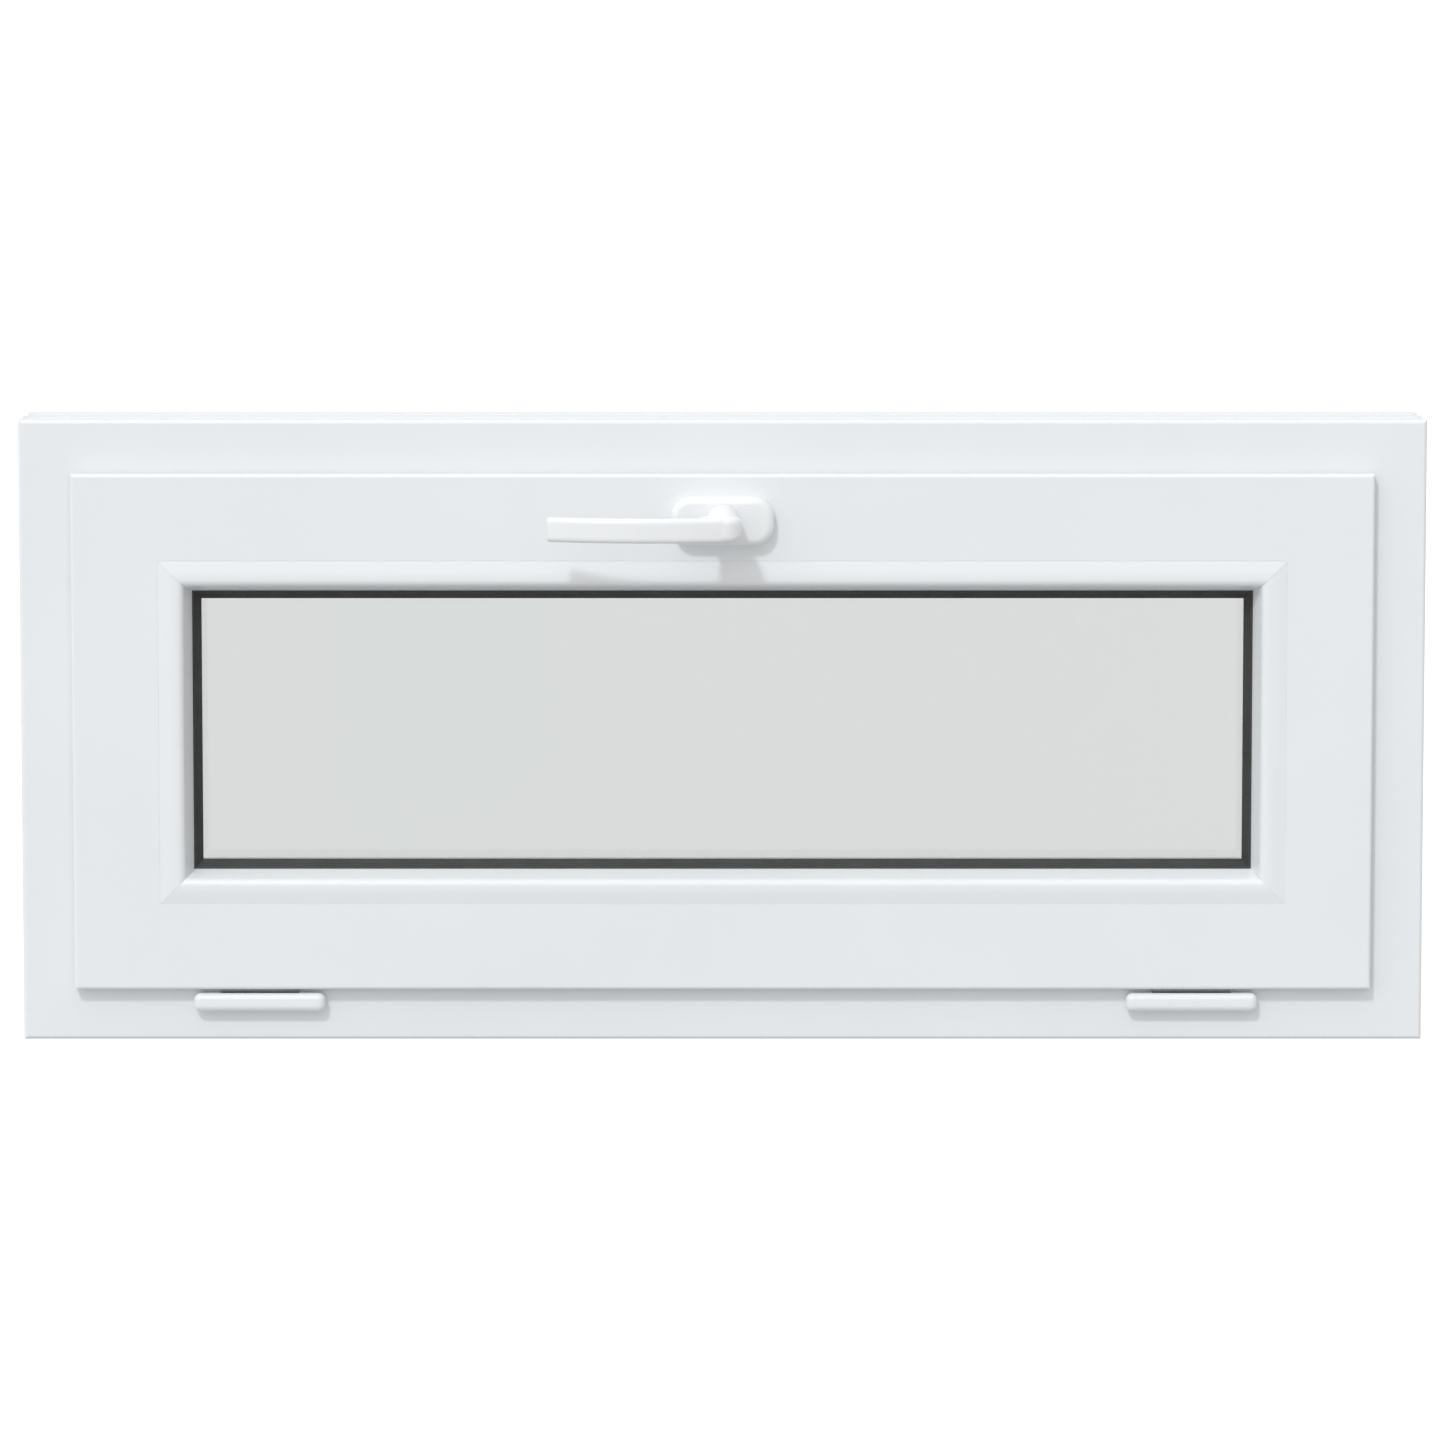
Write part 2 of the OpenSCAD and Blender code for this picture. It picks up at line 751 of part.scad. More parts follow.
stay_rail();  // stay_rail_left
mirror([1, 0, 0]) stay_rail();  // stay_rail_right
handle_lever();
handle_spindle();
gear_pinion();
drive_rail();
locking_cams();
stay_arm();  // stay_arm_left
mirror([1, 0, 0]) stay_arm();  // stay_arm_right
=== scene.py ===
from math import cos, pi, radians, sin

import bmesh
import bpy
from mathutils import Matrix, Vector


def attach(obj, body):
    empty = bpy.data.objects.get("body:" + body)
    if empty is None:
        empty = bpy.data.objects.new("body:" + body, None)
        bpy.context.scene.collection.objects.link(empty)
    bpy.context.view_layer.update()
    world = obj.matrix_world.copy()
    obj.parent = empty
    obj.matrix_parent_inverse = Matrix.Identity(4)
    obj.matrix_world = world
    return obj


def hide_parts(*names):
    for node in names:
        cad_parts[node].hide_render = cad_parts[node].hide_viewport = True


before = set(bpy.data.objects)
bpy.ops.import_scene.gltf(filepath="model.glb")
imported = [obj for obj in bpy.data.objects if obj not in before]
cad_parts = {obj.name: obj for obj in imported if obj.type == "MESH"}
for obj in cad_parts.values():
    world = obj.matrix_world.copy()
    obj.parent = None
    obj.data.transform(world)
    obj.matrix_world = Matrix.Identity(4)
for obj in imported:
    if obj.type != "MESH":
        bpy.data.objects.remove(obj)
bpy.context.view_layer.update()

# ---- Studio ----
# A still camera on a tripod in front of the window, a little above it, with a long lens. One soft
# lamp stands high on the left, and a weak one stands behind on the other side. Pale walls and
# ceiling fill the rest, and the floor is pale card.
mm = 0.001
scene = bpy.context.scene
scene.view_settings.view_transform = "Standard"
camera = bpy.data.objects.new("camera", bpy.data.cameras.new("camera"))
camera.data.sensor_width = 36
camera.data.lens = 146.9
camera.data.shift_y = -0.15
camera.location = (0, -3.788, 0.684)
camera.rotation_euler = (radians(90 - 5.16), 0, 0)
scene.collection.objects.link(camera)
scene.camera = camera

daylight = (0.92, 0.968, 1)
for name, energy, softness, shines in (("soft_lamp", 1.0, 6, (0.4, 1, -1.05)),
                                       ("back_lamp", 0.4, 25, (-0.75, -1, -0.6))):
    lamp = bpy.data.objects.new(name, bpy.data.lights.new(name, "SUN"))
    lamp.data.energy = energy
    lamp.data.color = daylight
    lamp.data.angle = radians(softness)
    lamp.rotation_mode = "QUATERNION"
    lamp.rotation_quaternion = Vector(shines).to_track_quat("-Z", "Y")
    scene.collection.objects.link(lamp)

bright_side = (-0.55, -0.35, 0.75)
dim_wall, bright_wall = (0.59, 0.574, 0.563, 1), (1.18, 1.15, 1.128, 1)
white = (1, 1, 1, 1)
room = bpy.data.worlds.new("pale_room")
room.use_nodes = True
scene.world = room
nodes, links = room.node_tree.nodes, room.node_tree.links
direction = nodes.new("ShaderNodeTexCoord")
towards = nodes.new("ShaderNodeVectorMath")
towards.operation = "DOT_PRODUCT"
towards.inputs[1].default_value = bright_side
walls = nodes.new("ShaderNodeValToRGB")
for stop, where, tone in zip(walls.color_ramp.elements, (0.0, 0.9), (dim_wall, bright_wall)):
    stop.position = where
    stop.color = tone
backdrop = nodes.new("ShaderNodeBackground")
backdrop.inputs["Color"].default_value = white
backdrop.inputs["Strength"].default_value = 1.1
glow = nodes.new("ShaderNodeBackground")
ray = nodes.new("ShaderNodeLightPath")
choose = nodes.new("ShaderNodeMixShader")
links.new(direction.outputs["Generated"], towards.inputs[0])
links.new(towards.outputs["Value"], walls.inputs["Fac"])
links.new(walls.outputs["Color"], glow.inputs["Color"])
links.new(ray.outputs["Is Camera Ray"], choose.inputs["Fac"])
links.new(glow.outputs[0], choose.inputs[1])
links.new(backdrop.outputs[0], choose.inputs[2])
links.new(choose.outputs[0], nodes["World Output"].inputs["Surface"])

card_tone = (0.25, 0.25, 0.251, 1)
card_glow, extra_straight, extra_through = 0.3, 0.55, 0.325
floor_half = 40
card = bpy.data.materials.new("pale_card")
card.use_nodes = True
nodes, links = card.node_tree.nodes, card.node_tree.links
nodes.remove(nodes["Principled BSDF"])
matt = nodes.new("ShaderNodeBsdfDiffuse")
matt.inputs["Color"].default_value = card_tone
lit = nodes.new("ShaderNodeEmission")
both = nodes.new("ShaderNodeAddShader")
ray = nodes.new("ShaderNodeLightPath")
straight = nodes.new("ShaderNodeMath")
straight.operation = "MULTIPLY_ADD"
straight.inputs[1].default_value = extra_straight
straight.inputs[2].default_value = card_glow
through = nodes.new("ShaderNodeMath")
through.operation = "MULTIPLY_ADD"
through.inputs[1].default_value = extra_through
links.new(ray.outputs["Is Camera Ray"], straight.inputs[0])
links.new(ray.outputs["Is Transmission Ray"], through.inputs[0])
links.new(straight.outputs[0], through.inputs[2])
links.new(through.outputs[0], lit.inputs["Strength"])
links.new(matt.outputs[0], both.inputs[0])
links.new(lit.outputs[0], both.inputs[1])
links.new(both.outputs[0], nodes["Material Output"].inputs["Surface"])
bm = bmesh.new()
bmesh.ops.create_grid(bm, x_segments=1, y_segments=1, size=floor_half)
floor = bpy.data.objects.new("floor", bpy.data.meshes.new("floor"))
bm.to_mesh(floor.data)
bm.free()
floor.data.materials.append(card)
scene.collection.objects.link(floor)

# ---- Frame ----
# Four lengths of extruded white PVC, sawn to 45 degrees and welded at the corners. Closed chambers
# run along each length, and two shallow grooves on the outside take fixing lugs.
win_w, win_h = 900, 400
mid_d = 35
weld_t = 2
rounding_steps = 5
on_side = {
    "bottom": (0, (0, 0, 0)),
    "top": (pi, (0, 0, win_h)),
    "left": (pi / 2, (-win_w / 2, 0, win_h / 2)),
    "right": (-pi / 2, (win_w / 2, 0, win_h / 2)),
}
sides = ("top", "bottom", "left", "right")


def at(x, d, z):
    """A place given by x, the depth behind the frame's room face, and z, in millimetres."""
    return Vector((x, d - mid_d, z)) * mm


def everything(bm):
    """All that a mesh holds, for an operator that takes it whole."""
    return bm.verts[:] + bm.edges[:] + bm.faces[:]


def kind(geometry, wanted):
    """The vertices or the edges among what an operator gives back."""
    return [item for item in geometry if isinstance(item, wanted)]


def round_off(bm, geometry, size, steps, affect="EDGES"):
    """Rounds edges, or the corners of a flat outline."""
    bmesh.ops.bevel(bm, geom=geometry, offset=size * mm, segments=steps, profile=0.5, affect=affect,
                    material=-1)


def draw_out(bm, along):
    """Draws a flat outline out into a solid."""
    pulled = bmesh.ops.extrude_face_region(bm, geom=bm.faces[:])
    bmesh.ops.translate(bm, verts=kind(pulled["geom"], bmesh.types.BMVert), vec=along)


def score(bm, spot, facing):
    """Divides the faces along a plane, and takes nothing away."""
    bmesh.ops.bisect_plane(bm, geom=everything(bm), dist=1e-8, plane_co=spot, plane_no=facing)


def saw(bm, spot, facing):
    """Takes away what lies past a plane, and closes the cut."""
    cut = bmesh.ops.bisect_plane(bm, geom=everything(bm), dist=1e-8, plane_co=spot, plane_no=facing,
                                 clear_outer=True)
    bmesh.ops.edgeloop_fill(bm, edges=kind(cut["geom_cut"], bmesh.types.BMEdge))


def shell(side, outline, rounds=(), inset=0, span=(None, None)):
    """A length of the outline [inwards, depth] on its side of the window.

    It is mitred at both ends, or sawn square where the span gives an x.
    """
    run = win_w if side in ("top", "bottom") else win_h
    bm = bmesh.new()
    corners = [bm.verts.new(at(-run / 2, d, u)) for u, d in outline]
    bm.faces.new(corners)
    for (u, d), size in rounds:
        sharp = at(-run / 2, d, u)
        near = min((v for v in corners if v.is_valid), key=lambda v: (v.co - sharp).length)
        round_off(bm, [near], size, rounding_steps, "VERTICES")
    draw_out(bm, (run * mm, 0, 0))
    for end, stop in zip((-1, 1), span):
        if stop is None:
            saw(bm, Vector((end * (run / 2 - inset), 0, 0)) * mm, (end, 0, 1))
        else:
            saw(bm, Vector((stop, 0, 0)) * mm, (end, 0, 0))
    bmesh.ops.recalc_face_normals(bm, faces=bm.faces[:])
    turn, shift = on_side[side]
    bm.transform(Matrix.Translation(Vector(shift) * mm) @ Matrix.Rotation(turn, 4, "Y"))
    return bm


def joined(*shells):
    """Several closed shells as one mesh."""
    whole = bmesh.new()
    for part in shells:
        loose = bpy.data.meshes.new("loose")
        part.to_mesh(loose)
        part.free()
        whole.from_mesh(loose)
        bpy.data.meshes.remove(loose)
    return whole


def chamber(side, u0, u1, d0, d1):
    """A closed hollow inside a profile, which ends at the weld."""
    hollow = shell(side, [(u0, d0), (u1, d0), (u1, d1), (u0, d1)], inset=weld_t)
    bmesh.ops.reverse_faces(hollow, faces=hollow.faces[:])
    return hollow


def block(x0, x1, d0, d1, z0, z1):
    """A plain block, used as a cutter or as the stock for a piece."""
    bm = bmesh.new()
    bmesh.ops.create_cube(bm, size=1)
    low, high = at(x0, d0, z0), at(x1, d1, z1)
    bmesh.ops.scale(bm, verts=bm.verts[:], vec=high - low)
    bmesh.ops.translate(bm, verts=bm.verts[:], vec=(low + high) / 2)
    return bm


def rod(radius, start, end, sides=48):
    """A round bar between two places."""
    bm = bmesh.new()
    along = end - start
    bmesh.ops.create_cone(bm, cap_ends=True, segments=sides, radius1=radius * mm, radius2=radius * mm,
                          depth=along.length)
    lean = along.to_track_quat("Z", "Y").to_matrix().to_4x4()
    bm.transform(Matrix.Translation((start + end) / 2) @ lean)
    bm.normal_update()
    return bm


def loose_object(name, bm):
    """An object made from a bmesh."""
    made = bpy.data.objects.new(name, bpy.data.meshes.new(name))
    bm.to_mesh(made.data)
    bm.free()
    scene.collection.objects.link(made)
    return made


def settle(piece):
    """Makes what the piece's modifiers give its own mesh."""
    ready = piece.evaluated_get(bpy.context.evaluated_depsgraph_get())
    done = bpy.data.meshes.new_from_object(ready)
    piece.modifiers.clear()
    old, piece.data = piece.data, done
    bpy.data.meshes.remove(old)


def cut_away(piece, *cutters):
    """Drills or mills the cutters out of the piece."""
    tools = [loose_object("cutter", bm) for bm in cutters]
    for tool in tools:
        bore = piece.modifiers.new("bore", "BOOLEAN")
        bore.operation = "DIFFERENCE"
        bore.solver = "EXACT"
        bore.object = tool
    bpy.context.view_layer.update()
    settle(piece)
    for tool in tools:
        bpy.data.objects.remove(tool)


def fit_piece(piece, finish, body, slot, *stands_for, crease=32):
    """Gives a piece its finish and shading, and fixes it to its body in place of its solids."""
    piece.data.materials.clear()
    piece.data.materials.append(finish)
    for polygon in piece.data.polygons:
        polygon.use_smooth = True
        polygon.material_index = 0
    piece.data.set_sharp_from_angle(angle=radians(crease))
    even = piece.modifiers.new("even_faces", "WEIGHTED_NORMAL")
    even.keep_sharp = True
    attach(piece, body)
    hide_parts(*stands_for)
    return piece


def new_finish(name, **settings):
    """A surface finish, with the settings that are the same all over it."""
    made = bpy.data.materials.new(name)
    made.use_nodes = True
    surface = made.node_tree.nodes["Principled BSDF"]
    for socket, value in settings.items():
        surface.inputs[socket.replace("_", " ")].default_value = value
    return made


def grain(finish, scale, stretch=(1, 1, 1), detail=3.0, roughness=0.5):
    """A noise in the piece's own place, stretched along its run."""
    nodes, links = finish.node_tree.nodes, finish.node_tree.links
    place = nodes.new("ShaderNodeTexCoord")
    run = nodes.new("ShaderNodeMapping")
    run.inputs["Scale"].default_value = stretch
    noise = nodes.new("ShaderNodeTexNoise")
    noise.inputs["Scale"].default_value = scale
    noise.inputs["Detail"].default_value = detail
    noise.inputs["Roughness"].default_value = roughness
    links.new(place.outputs["Object"], run.inputs["Vector"])
    links.new(run.outputs["Vector"], noise.inputs["Vector"])
    return noise.outputs["Fac"]


def spread(finish, signal, socket, low, high, band=(0.3, 0.7)):
    """Drives a socket from low to high, a colour or a number, as the signal crosses its band."""
    nodes, links = finish.node_tree.nodes, finish.node_tree.links
    ramp = nodes.new("ShaderNodeValToRGB")
    for stop, where, tone in zip(ramp.color_ramp.elements, band, (low, high)):
        stop.position = where
        stop.color = (*tone, 1) if isinstance(tone, tuple) else (tone, tone, tone, 1)
    links.new(signal, ramp.inputs["Fac"])
    links.new(ramp.outputs["Color"], nodes["Principled BSDF"].inputs[socket])


def relief(finish, signals, distance, strength=1.0):
    """Bump from one or more signals, one after the other."""
    nodes, links = finish.node_tree.nodes, finish.node_tree.links
    last = None
    for signal, depth in zip(signals, distance):
        bump = nodes.new("ShaderNodeBump")
        bump.inputs["Strength"].default_value = strength
        bump.inputs["Distance"].default_value = depth * mm
        links.new(signal, bump.inputs["Height"])
        if last:
            links.new(last, bump.inputs["Normal"])
        last = bump.outputs["Normal"]
    links.new(last, nodes["Principled BSDF"].inputs["Normal"])


def white_pvc(name, stretch):
    """Satin white PVC with a faint drag from the die along its run."""
    made = new_finish(name, IOR=1.53, Specular_IOR_Level=0.42)
    spread(made, grain(made, 9, detail=2), "Base Color", (0.815, 0.846, 0.868), (0.835, 0.862, 0.882))
    spread(made, grain(made, 260, detail=4), "Roughness", 0.30, 0.40)
    relief(made, [grain(made, 900, stretch, detail=2), grain(made, 300)], (0.002, 0.002), 0.3)
    return made


pvc_across = white_pvc("white_pvc_across", (0.01, 1, 1))
pvc_upright = white_pvc("white_pvc_upright", (1, 1, 0.01))
pvc_run = {"top": pvc_across, "bottom": pvc_across, "left": pvc_upright, "right": pvc_upright}
frame_outline = [
    (0, 0), (41.5, 0), (41.5, 50), (58, 50), (58, 53), (61, 53), (61, 50), (66, 50), (66, 70), (0, 70),
    (0, 57), (3, 57), (3, 41), (0, 41), (0, 29), (3, 29), (3, 13), (0, 13),
]
frame_rounds = [((0, 0), 2.5), ((41.5, 0), 0.8), ((66, 50), 0.8), ((66, 70), 2), ((0, 70), 1)]
frame_chambers = [(3, 38.5, 3, 11), (6, 38.5, 14, 47), (6, 40.5, 51, 67), (43.5, 63, 56, 67)]
frame_names = {"top": "frame_head", "bottom": "frame_bottom_rail", "left": "frame_jamb_left",
               "right": "frame_jamb_right"}
anchor_r, anchor_z = 3.1, (100, 300)
anchor_from, anchor_to = 452, 405
drain_x = (-250, 250)
drain_half, drain_low, drain_high = 14, 9, 14
for side, stands_for in frame_names.items():
    bar = loose_object(stands_for + "_profile", joined(
        shell(side, frame_outline, frame_rounds), *[chamber(side, *room) for room in frame_chambers]))
    if side in ("left", "right"):
        out = -1 if side == "left" else 1
        cut_away(bar, *[rod(anchor_r, at(out * anchor_from, mid_d, z), at(out * anchor_to, mid_d, z))
                        for z in anchor_z])
    if side == "bottom":
        cut_away(bar, *[block(x - drain_half, x + drain_half, 66, 71, drain_low, drain_high)
                        for x in drain_x])
    fit_piece(bar, pvc_run[side], "frame", "pvc", stands_for)

# ---- Steel bars ----
# Galvanised steel tube and channel stiffen the PVC lengths from inside their main chambers. The
# zinc coat is dull, with a faint spangle and long rolling marks.


def zinc_plate(name, tone, spangle):
    """Zinc on steel: crystals of slightly different brightness, and fine rubbing marks."""
    made = new_finish(name, Metallic=1.0, Coat_Weight=0.1)
    nodes, links = made.node_tree.nodes, made.node_tree.links
    place = nodes.new("ShaderNodeTexCoord")
    crystals = nodes.new("ShaderNodeTexVoronoi")
    crystals.inputs["Scale"].default_value = spangle
    links.new(place.outputs["Object"], crystals.inputs["Vector"])
    spread(made, crystals.outputs["Color"], "Base Color", tuple(t * 0.86 for t in tone), tone, (0.1, 0.9))
    spread(made, grain(made, 120, (0.2, 1, 1), 5), "Roughness", 0.26, 0.48)
    relief(made, [grain(made, 1400, (0.05, 1, 1))], (0.01,), 0.5)
    return made


galvanised = zinc_plate("galvanised_steel", (0.62, 0.63, 0.65), 240)
bright_zinc = zinc_plate("bright_zinc_plate", (0.72, 0.73, 0.76), 900)


def dress(finish, *names):
    """Gives solids whose shape is right their finish."""
    for name in names:
        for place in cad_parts[name].material_slots:
            place.material = finish


dress(galvanised, "frame_steel_head", "frame_steel_bottom", "frame_steel_left", "frame_steel_right",
      "sash_steel_top", "sash_steel_bottom", "sash_steel_left", "sash_steel_right")

# ---- Weather seal ----
# One run of black rubber pressed into the frame's outer lip. A thin foot holds it in its groove,
# and a soft lip leans against the back of the sash.


def rubber(name, dark, light, shine=0.1):
    """Matt rubber with a bloom of dust and a fine moulded grain."""
    made = new_finish(name, IOR=1.48, Specular_IOR_Level=shine)
    spread(made, grain(made, 60, detail=5), "Base Color", dark, light)
    spread(made, grain(made, 500, detail=3), "Roughness", 0.45, 0.62)
    relief(made, [grain(made, 2500)], (0.02,), 0.4)
    return made


black_rubber = rubber("black_rubber", (0.016, 0.016, 0.018), (0.026, 0.026, 0.028))
weather_lip = [
    (58.2, 50), (58.2, 52.8), (60.8, 52.8), (60.8, 50), (63, 50), (63, 49), (61.6, 48.8), (60.8, 47.6),
    (59.2, 47), (58.8, 47.3), (60, 48.9), (56, 49.2), (56, 50),
]
seal = loose_object("weather_seal_lip", joined(*[
    shell(side, weather_lip, [((61.6, 48.8), 0.5), ((60.8, 47.6), 0.5)]) for side in sides]))
fit_piece(seal, black_rubber, "frame", "seal", "frame_weather_seal")

# ---- Drainage caps ----
# Two small white hoods, moulded in PVC, clip over the drain slots on the outside and are open
# underneath, so that rain runs out and wind doesn't blow in.


def give_wall(piece, thickness):
    """Thickens a moulded skin inwards."""
    thick = piece.modifiers.new("wall", "SOLIDIFY")
    thick.thickness = thickness * mm
    thick.offset = -1
    settle(piece)


hood_half, hood_low, hood_high = 21, 5, 19
outside_d, hood_out, hood_wall, hood_round = 70, 4, 1.4, 1.8
for name, x in zip(("drain_hood_left", "drain_hood_right"), drain_x):
    bm = block(x - hood_half, x + hood_half, outside_d, outside_d + hood_out, hood_low, hood_high)
    far = [e for e in bm.edges if all(v.co.y > at(0, 72, 0).y for v in e.verts)]
    ends = [e for e in bm.edges if all(v.co.z > at(0, 0, 12).z for v in e.verts)
            and abs(e.verts[0].co.y - e.verts[1].co.y) > mm]
    round_off(bm, far + ends, hood_round, rounding_steps)
    open_faces = [f for f in bm.faces if f.normal.y < -0.9 or f.normal.z < -0.9]
    bmesh.ops.delete(bm, geom=open_faces, context="FACES")
    hood = loose_object(name, bm)
    give_wall(hood, hood_wall)
    fit_piece(hood, pvc_across, "frame", "pvc", "drainage_caps")

# ---- Strikers ----
# Two zinc keeps screwed into the frame's head. Each has a lip on the room side, which the locking
# cam slides behind, and an open mouth where the cam stands when the window is unlocked.
dress(bright_zinc, "striker_left", "striker_right", "striker_screws")

# ---- Tilt hinges ----
# A steel bracket, a pin and a folded leaf at each end of the sash's bottom edge, with a white
# moulded cap snapped over the bracket. The leaf comes up through a slot in the top of the cap.
dress(bright_zinc, "hinge_bracket_left", "hinge_bracket_right", "hinge_pin_left", "hinge_pin_right",
      "hinge_bracket_screws", "hinge_leaf_screws")
# The leaves' dark grey is painted shade: it stands for the shade in each cap's slot, under the sash's
# bottom edge.
slot_shade_zinc = zinc_plate("dark_steel_painted_slot_shade", (0.34, 0.34, 0.345), 900)
dress(slot_shade_zinc, "hinge_leaf_left", "hinge_leaf_right")
hinge_x, hinge_z = (-297.5, 301.5), 25.15
cap_w, cap_h, cap_out, cap_wall = 84.5, 12.1, 9.5, 1.0
cap_corner, cap_roll = 4.5, 4.3
slot_half, slot_d = 25.3, -6


def rounded_plate(x, z, width, tall, corner, back, front, roll):
    """A plate with round corners, whose front edge is rolled over."""
    bm = bmesh.new()
    corners = [bm.verts.new(at(x + sx * width / 2, back, z + sz * tall / 2))
               for sx, sz in ((-1, -1), (1, -1), (1, 1), (-1, 1))]
    bm.faces.new(corners)
    round_off(bm, corners, corner, 10, "VERTICES")
    draw_out(bm, (0, (front - back) * mm, 0))
    bmesh.ops.recalc_face_normals(bm, faces=bm.faces[:])
    rim = [e for e in bm.edges if all(abs(v.co.y - at(0, front, 0).y) < 1e-6 for v in e.verts)]
    round_off(bm, rim, roll, 8)
    return bm


pvc_moulded = white_pvc("white_pvc_moulded", (1, 1, 1))
for side, x in zip(("left", "right"), hinge_x):
    bm = rounded_plate(x, hinge_z, cap_w, cap_h, cap_corner, 0, -cap_out, cap_roll)
    for spot, facing in ((at(x - slot_half, 0, 0), (1, 0, 0)), (at(x + slot_half, 0, 0), (1, 0, 0)),
                         (at(0, slot_d, 0), (0, 1, 0))):
        score(bm, spot, facing)
    slot_faces = [f for f in bm.faces if f.normal.z > 0.9 and abs(f.calc_center_median().x - x * mm)
                  < slot_half * mm and f.calc_center_median().y > at(0, slot_d, 0).y]
    back_faces = [f for f in bm.faces if f.normal.y > 0.9]
    bmesh.ops.delete(bm, geom=slot_faces + back_faces, context="FACES")
    cap = loose_object("hinge_cap_shell_" + side, bm)
    give_wall(cap, cap_wall)
    fit_piece(cap, pvc_moulded, "frame", "pvc", "hinge_cap_" + side)

# ---- Sash ----
# Four welded lengths of a deeper PVC profile, whose flange overlaps the frame on the room side. A
# groove round the outside takes the locking gear, and the top rail is bored for the handle.
sash_outline = [
    (34, -10), (89.5, -10), (89.5, 3), (87, 3), (87, 6), (89.5, 6), (89.5, 40), (110, 40), (110, 60),
    (70, 60), (70, 46.5), (53, 46.5), (53, 28), (55.2, 28), (55.2, 26), (59, 26), (59, 14), (55.2, 14),
    (55.2, 12), (53, 12), (53, -3), (34, -3),
]
sash_rounds = [((34, -10), 2.2), ((34, -3), 0.6), ((89.5, -10), 0.3), ((110, 40), 0.6), ((110, 60), 3),
               ((70, 60), 1.5)]
sash_chambers = [(56, 84, -7, 9), (62, 84, 12, 44), (73, 107, 47, 57)]
sash_names = {"top": "sash_top_rail", "bottom": "sash_bottom_rail", "left": "sash_stile_left",
              "right": "sash_stile_right"}
spindle_z, spindle_bore_r = 336.5, 6
screw_x, screw_bore_r = (-21.5, 21.5), 2.5
case_half, case_pocket = 32.2, (13.5, 26.5, 327.8, 345.3)
for side, stands_for in sash_names.items():
    bar = loose_object(stands_for + "_profile", joined(
        shell(side, sash_outline, sash_rounds), *[chamber(side, *room) for room in sash_chambers]))
    if side == "top":
        cut_away(bar, rod(spindle_bore_r, at(0, -12, spindle_z), at(0, 20, spindle_z)),
                 *[rod(screw_bore_r, at(x, -12, spindle_z), at(x, 24, spindle_z), 24) for x in screw_x],
                 block(-case_half, case_half, *case_pocket))
    fit_piece(bar, pvc_run[side], "sash", "pvc", stands_for)

# ---- Overlap seal ----
# A round bead of pale grey rubber behind the sash's flange, which presses on the frame's face. It
# stops short on both sides of each hinge leaf.
pale_rubber = rubber("pale_grey_rubber", (0.56, 0.57, 0.58), (0.63, 0.64, 0.65))
overlap_bulb = [(35, -3), (40, -3), (40, -2.2), (39.2, -0.3), (35.8, -0.3), (35, -2.2)]
bulb_rounds = [((39.2, -0.3), 0.8), ((35.8, -0.3), 0.8)]
clear = 25.5
left_x, right_x = hinge_x
bulb = [shell(side, overlap_bulb, bulb_rounds) for side in ("top", "left", "right")]
bulb += [shell("bottom", overlap_bulb, bulb_rounds, span=span) for span in (
    (None, left_x - clear), (left_x + clear, right_x - clear), (right_x + clear, None))]
seal = loose_object("overlap_seal_bulb", joined(*bulb))
fit_piece(seal, pale_rubber, "sash", "seal_pale", "sash_overlap_seal")

# ---- Glazing ----
# Two panes of float glass with ground edges, held apart by a rolled aluminium channel and stuck
# together with black sealant. Moulded blocks stand the unit square in the sash.
glass_u, pane_t, ground_edge = 95, 4, 0.5


def float_glass_painted_reflection(name):
    """Clear glass with the faint grey-green of its iron; its broad greener and greyer patches are painted
    reflection.
    """
    made = new_finish(name, IOR=1.5, Roughness=0.0, Transmission_Weight=1.0)
    # Painted reflection: broad patches of the colour run greener or greyer and stand for faint
    # reflections in the panes.
    spread(made, grain(made, 3.2, (1, 1, 0.35), 1), "Base Color", (0.865, 0.885, 0.878),
           (0.885, 0.889, 0.888))
    return made


clear_glass = float_glass_painted_reflection("float_glass_painted_reflection")
for name, d in (("inner", 12), ("outer", 32)):
    bm = block(glass_u - win_w / 2, win_w / 2 - glass_u, d, d + pane_t, glass_u, win_h - glass_u)
    round_off(bm, bm.edges[:], ground_edge, 2)
    pane = loose_object("pane_" + name, bm)
    fit_piece(pane, clear_glass, "sash", "glass", "glass_pane_" + name)

mill_aluminium = new_finish("mill_aluminium", Metallic=1.0)
spread(mill_aluminium, grain(mill_aluminium, 200, (0.05, 1, 1), 4), "Base Color", (0.50, 0.51, 0.52),
       (0.66, 0.67, 0.68))
spread(mill_aluminium, grain(mill_aluminium, 900, (0.05, 1, 1)), "Roughness", 0.28, 0.45)
channel = [
    (99, 16), (106, 16), (106, 19.5), (105.7, 19.8), (105.7, 20.2), (106, 20.5), (106, 27.5),
    (105.7, 27.8), (105.7, 28.2), (106, 28.5), (106, 32), (99, 32), (99, 31.2), (104.9, 31.2),
    (104.9, 16.8), (99, 16.8),
]
spacer = loose_object("spacer_channel", joined(*[
    shell(side, channel, [((106, 16), 0.5), ((106, 32), 0.5)]) for side in sides]))
fit_piece(spacer, mill_aluminium, "sash", "spacer", "glass_spacer")

blue_plastic = new_finish("blue_moulded_plastic", IOR=1.49)
spread(blue_plastic, grain(blue_plastic, 80), "Base Color", (0.07, 0.19, 0.42), (0.09, 0.23, 0.48))
spread(blue_plastic, grain(blue_plastic, 600), "Roughness", 0.4, 0.55)
dress(blue_plastic, "glazing_blocks")
dress(black_rubber, "glass_edge_seal")

